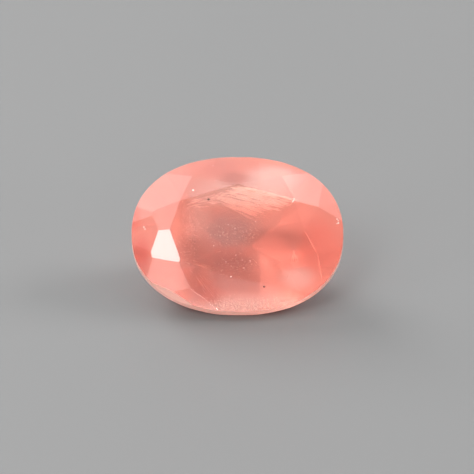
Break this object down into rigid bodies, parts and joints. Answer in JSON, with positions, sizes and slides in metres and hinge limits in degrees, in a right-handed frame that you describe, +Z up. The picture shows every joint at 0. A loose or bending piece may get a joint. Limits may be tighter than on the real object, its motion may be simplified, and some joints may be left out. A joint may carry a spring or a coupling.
{
  "type": "faceted rhodochrosite gemstone",
  "caption": "Oval brilliant-cut gem of translucent coral-pink rhodochrosite, lying tilted on one flat of its pavilion.",
  "frame": {"origin": "on the surface the stone lies on, below the middle of its bounding box", "axes": "+X along the oval's long axis, +Z up, the table facing up and towards -Y"},
  "size_m": [0.008, 0.0048, 0.0044],
  "materials": {
    "gemstone": "polished translucent facets, frosted girdle"
  },
  "bodies": {
    "root": {"gemstone": "gemstone"}
  },
  "joints": []
}
